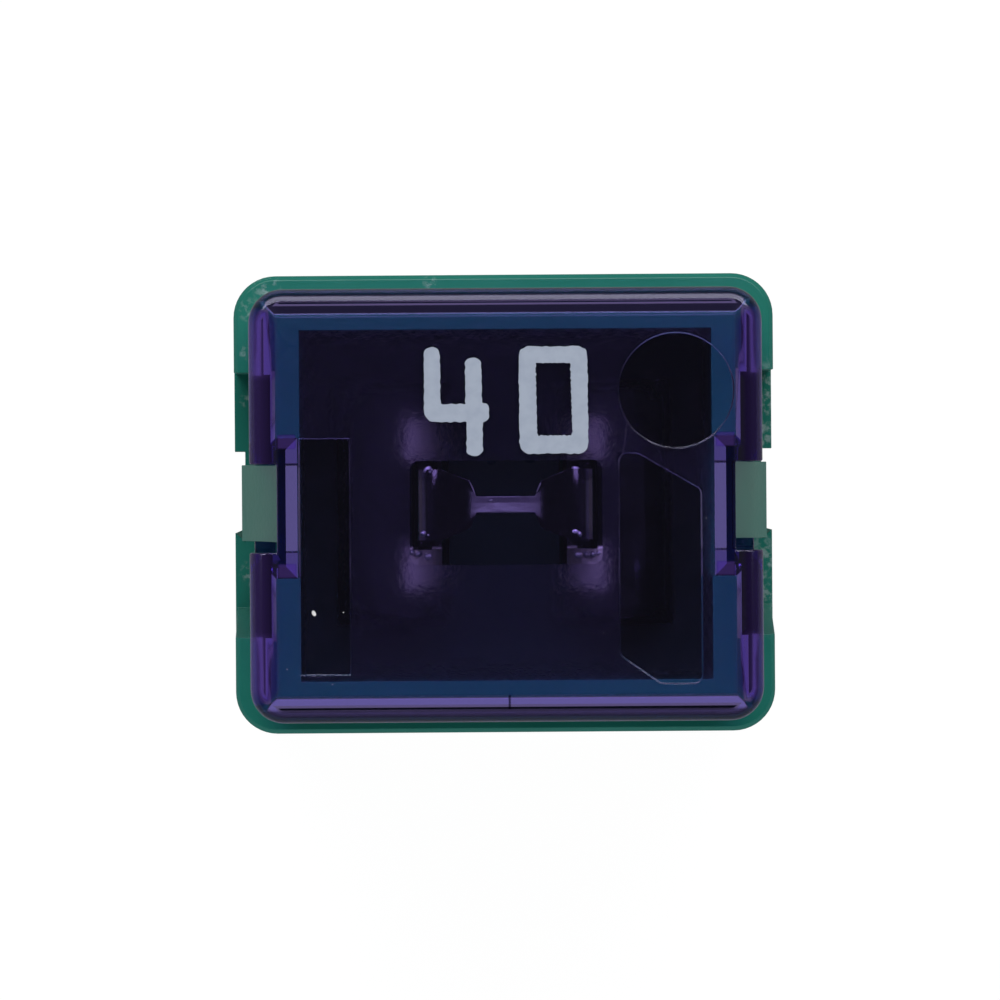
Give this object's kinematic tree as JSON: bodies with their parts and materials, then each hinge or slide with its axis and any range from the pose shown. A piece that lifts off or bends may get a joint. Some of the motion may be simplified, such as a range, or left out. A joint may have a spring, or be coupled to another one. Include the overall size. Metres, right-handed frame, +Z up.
{
  "type": "cartridge fuse with female terminals",
  "caption": "Square plug-in cartridge fuse with female blade terminals, a green housing and a clear violet clipped cover over the link.",
  "frame": {"origin": "centre of the bottom face, between the two blade slots, on the surface that the fuse stands on", "axes": "+Z up from the blade slots to the cover, +X along the wide side from one terminal to the other, +Y along the narrow side towards the top of the printed number"},
  "size_m": [0.0156, 0.0132, 0.03],
  "materials": {
    "green_plastic": "moulded, satin",
    "clear_violet_plastic": "moulded clear plastic, tinted violet, underside frosted",
    "plated_copper": "tin-plated copper alloy",
    "spring_steel": "bright stainless spring steel"
  },
  "bodies": {
    "root": {"housing": "green_plastic", "cover": "clear_violet_plastic", "fuse_element": "plated_copper", "left_spring_clip": "spring_steel", "right_spring_clip": "spring_steel"}
  },
  "joints": []
}
